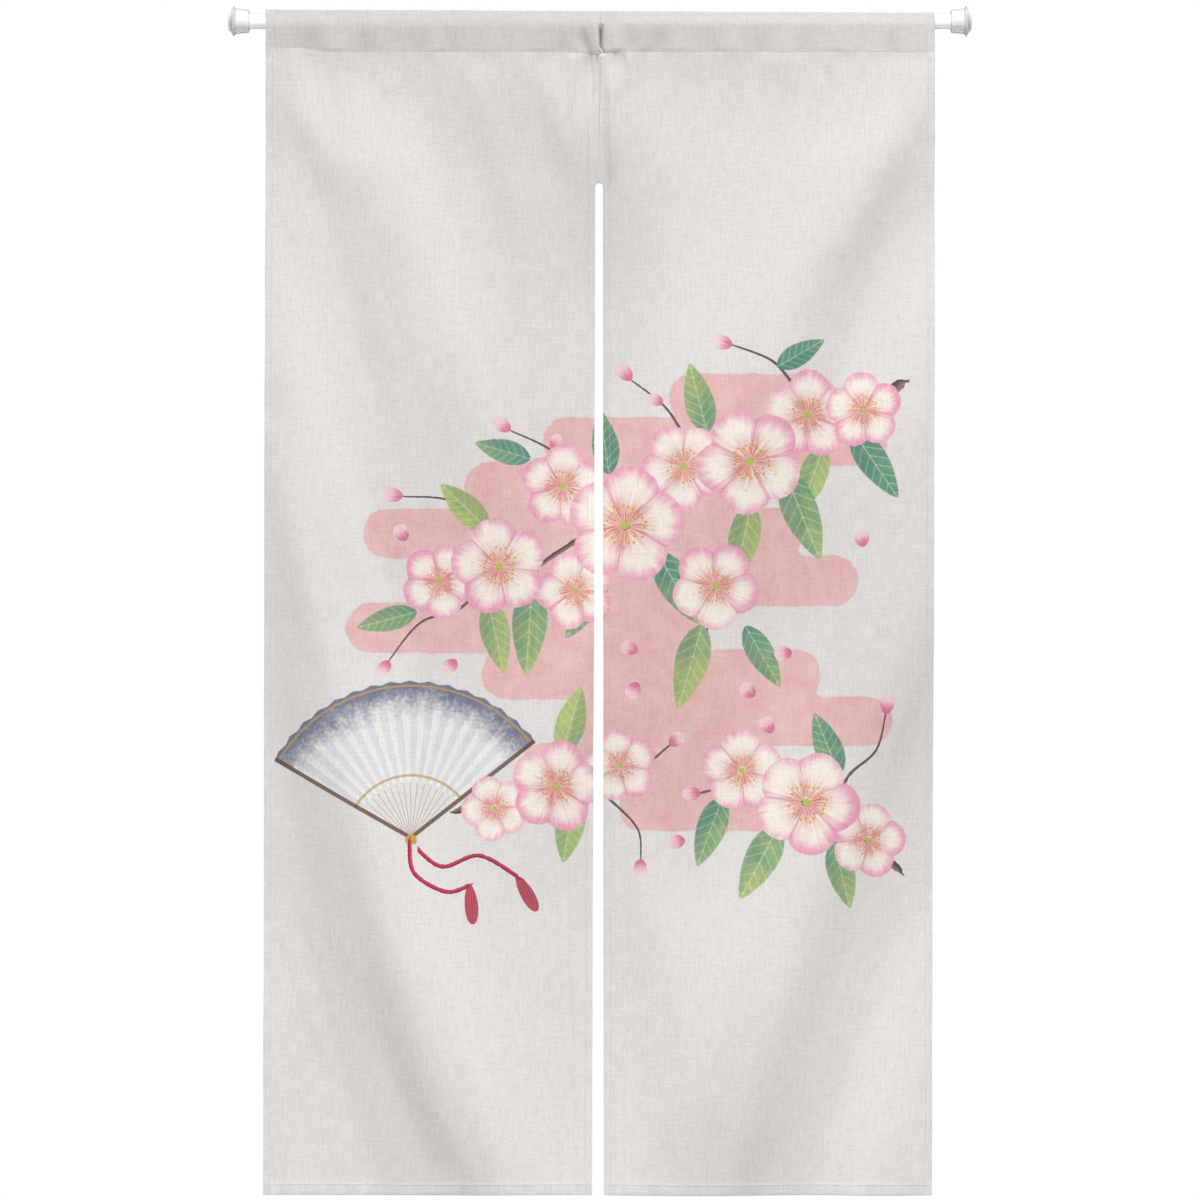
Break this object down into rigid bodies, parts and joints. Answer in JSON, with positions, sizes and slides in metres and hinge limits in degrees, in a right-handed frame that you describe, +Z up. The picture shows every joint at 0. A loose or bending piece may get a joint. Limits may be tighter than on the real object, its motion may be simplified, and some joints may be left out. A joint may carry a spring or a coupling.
{
  "type": "noren curtain on a tension rod",
  "caption": "Split door curtain of off-white cloth in soft hanging folds, with a stitched rod pocket, on a white tension rod with padded end caps.",
  "frame": {"origin": "middle of the left wall pad's flat face, on the rod's axis", "axes": "+X along the rod from the left pad to the right one, +Z up, and the front of the cloth faces -Y"},
  "size_m": [0.944, 0.0479, 1.5107],
  "materials": {
    "cloth": "matte slubby plain weave",
    "rod_enamel": "glossy white enamel",
    "cap_plastic": "glossy white",
    "pad_rubber": "matte white"
  },
  "bodies": {
    "root": {"rod": "rod_enamel", "cap_left": "cap_plastic", "cap_right": "cap_plastic", "pad_left": "pad_rubber", "pad_right": "pad_rubber", "panel_left": "cloth", "panel_right": "cloth"}
  },
  "joints": []
}
